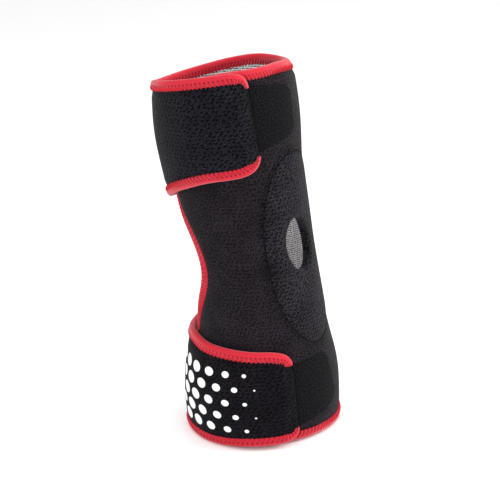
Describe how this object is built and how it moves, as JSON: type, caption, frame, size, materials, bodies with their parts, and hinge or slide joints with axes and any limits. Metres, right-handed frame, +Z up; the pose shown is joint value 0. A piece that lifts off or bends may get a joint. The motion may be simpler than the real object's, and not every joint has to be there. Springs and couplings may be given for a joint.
{
  "type": "knee support",
  "caption": "Wrap-around knee support of padded black cloth with red bound edges and an open kneecap, closed by an upper and a lower flap with hook tabs.",
  "frame": {"origin": "on the floor, under the middle of the part's box; the support stands on its lower rim", "axes": "+Z up along the leg, -Y out of the kneecap, -X the side where the flaps close"},
  "size_m": [0.1276, 0.1356, 0.307],
  "materials": {
    "loop_cloth": "matte dimpled loop cloth over foam",
    "lining": "pale ribbed knit",
    "hook_tape": "flat black hook tape",
    "edge_tape": "matte red folded tape with slanted stitching"
  },
  "bodies": {
    "root": {"main_panel": "loop_cloth", "panel_lining": "lining", "upper_flap": "loop_cloth", "upper_flap_lining": "lining", "lower_flap": "loop_cloth", "lower_flap_lining": "lining", "patella_pad": "loop_cloth", "upper_hook_tab": "hook_tape", "lower_hook_tab": "hook_tape", "top_binding": "edge_tape", "bottom_binding": "edge_tape", "near_binding": "edge_tape", "back_binding": "edge_tape"}
  },
  "joints": []
}
